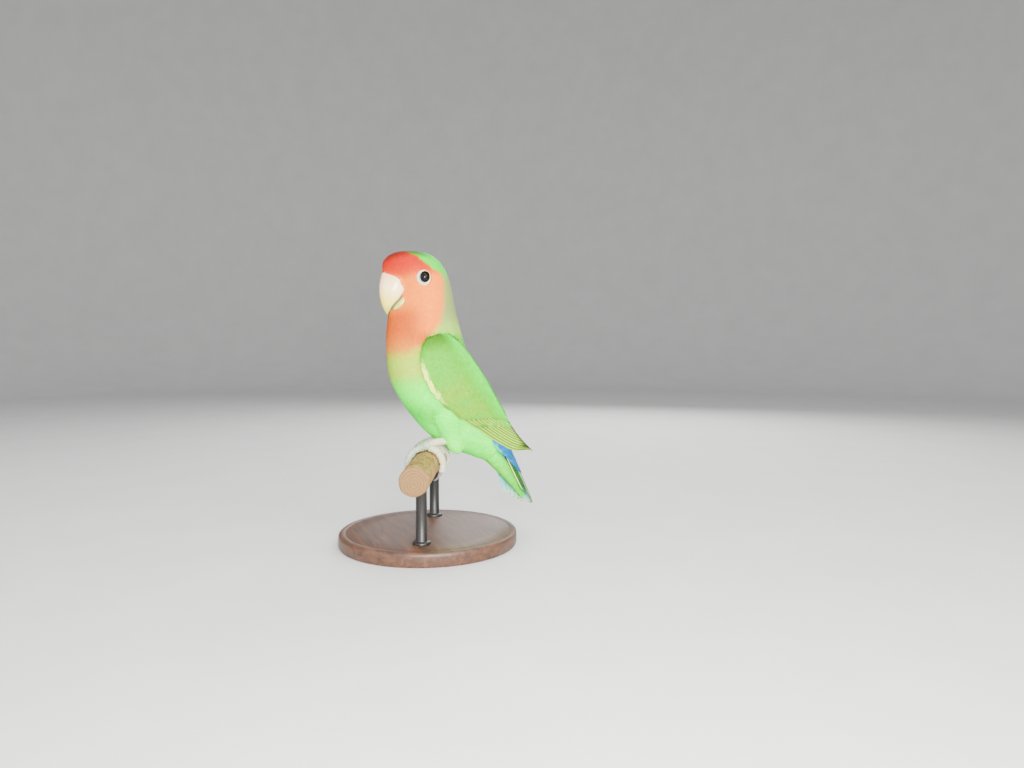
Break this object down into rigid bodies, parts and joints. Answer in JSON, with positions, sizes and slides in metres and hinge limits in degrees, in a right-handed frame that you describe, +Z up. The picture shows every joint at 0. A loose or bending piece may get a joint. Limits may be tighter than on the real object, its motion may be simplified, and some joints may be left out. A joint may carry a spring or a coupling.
{
  "type": "peach-faced lovebird on a perch stand",
  "caption": "Life-size model of a peach-faced lovebird standing on a short dowel perch, held by two rods on a round base.",
  "frame": {"origin": "centre of the stand base's underside", "axes": "+Z up, the bird faces -Y, its left side is +X; the perch runs level, turned 24 degrees clockwise from +X as seen from above"},
  "size_m": [0.1094, 0.1153, 0.1634],
  "materials": {
    "green_feathers": "soft overlapping feathers",
    "peach_feathers": "soft overlapping feathers",
    "wing_feathers": "smooth overlapping feathers",
    "tail_feathers": "smooth overlapping feathers",
    "blue_feathers": "soft overlapping feathers",
    "bill": "satin horn",
    "eye": "wet gloss",
    "lids": "bare skin",
    "scaly_skin": "finely scaled skin",
    "claw": "satin horn",
    "perch_wood": "bare and worn",
    "stand_wood": "dark stain, satin",
    "stand_metal": "satin black"
  },
  "bodies": {
    "root": {"claw_left_front_inner": "claw", "claw_left_front_outer": "claw", "claw_left_hind_inner": "claw", "claw_left_hind_outer": "claw", "claw_right_front_inner": "claw", "claw_right_front_outer": "claw", "claw_right_hind_inner": "claw", "claw_right_hind_outer": "claw", "eye_left": "eye", "eye_right": "eye", "eye_ring_left": "lids", "eye_ring_right": "lids", "head": "peach_feathers", "lower_bill": "bill", "neck": "peach_feathers", "perch": "perch_wood", "stand_base": "stand_wood", "stand_rod_far": "stand_metal", "stand_rod_near": "stand_metal", "tail_feathers": "tail_feathers", "tarsus_left": "scaly_skin", "tarsus_right": "scaly_skin", "thigh_left": "green_feathers", "thigh_right": "green_feathers", "toe_left_front_inner": "scaly_skin", "toe_left_front_outer": "scaly_skin", "toe_left_hind_inner": "scaly_skin", "toe_left_hind_outer": "scaly_skin", "toe_right_front_inner": "scaly_skin", "toe_right_front_outer": "scaly_skin", "toe_right_hind_inner": "scaly_skin", "toe_right_hind_outer": "scaly_skin", "torso": "green_feathers", "under_tail_coverts": "green_feathers", "upper_bill": "bill", "upper_tail_coverts": "blue_feathers", "wing_coverts_left": "wing_feathers", "wing_coverts_right": "wing_feathers", "wing_flight_left": "wing_feathers", "wing_flight_right": "wing_feathers"}
  },
  "joints": []
}
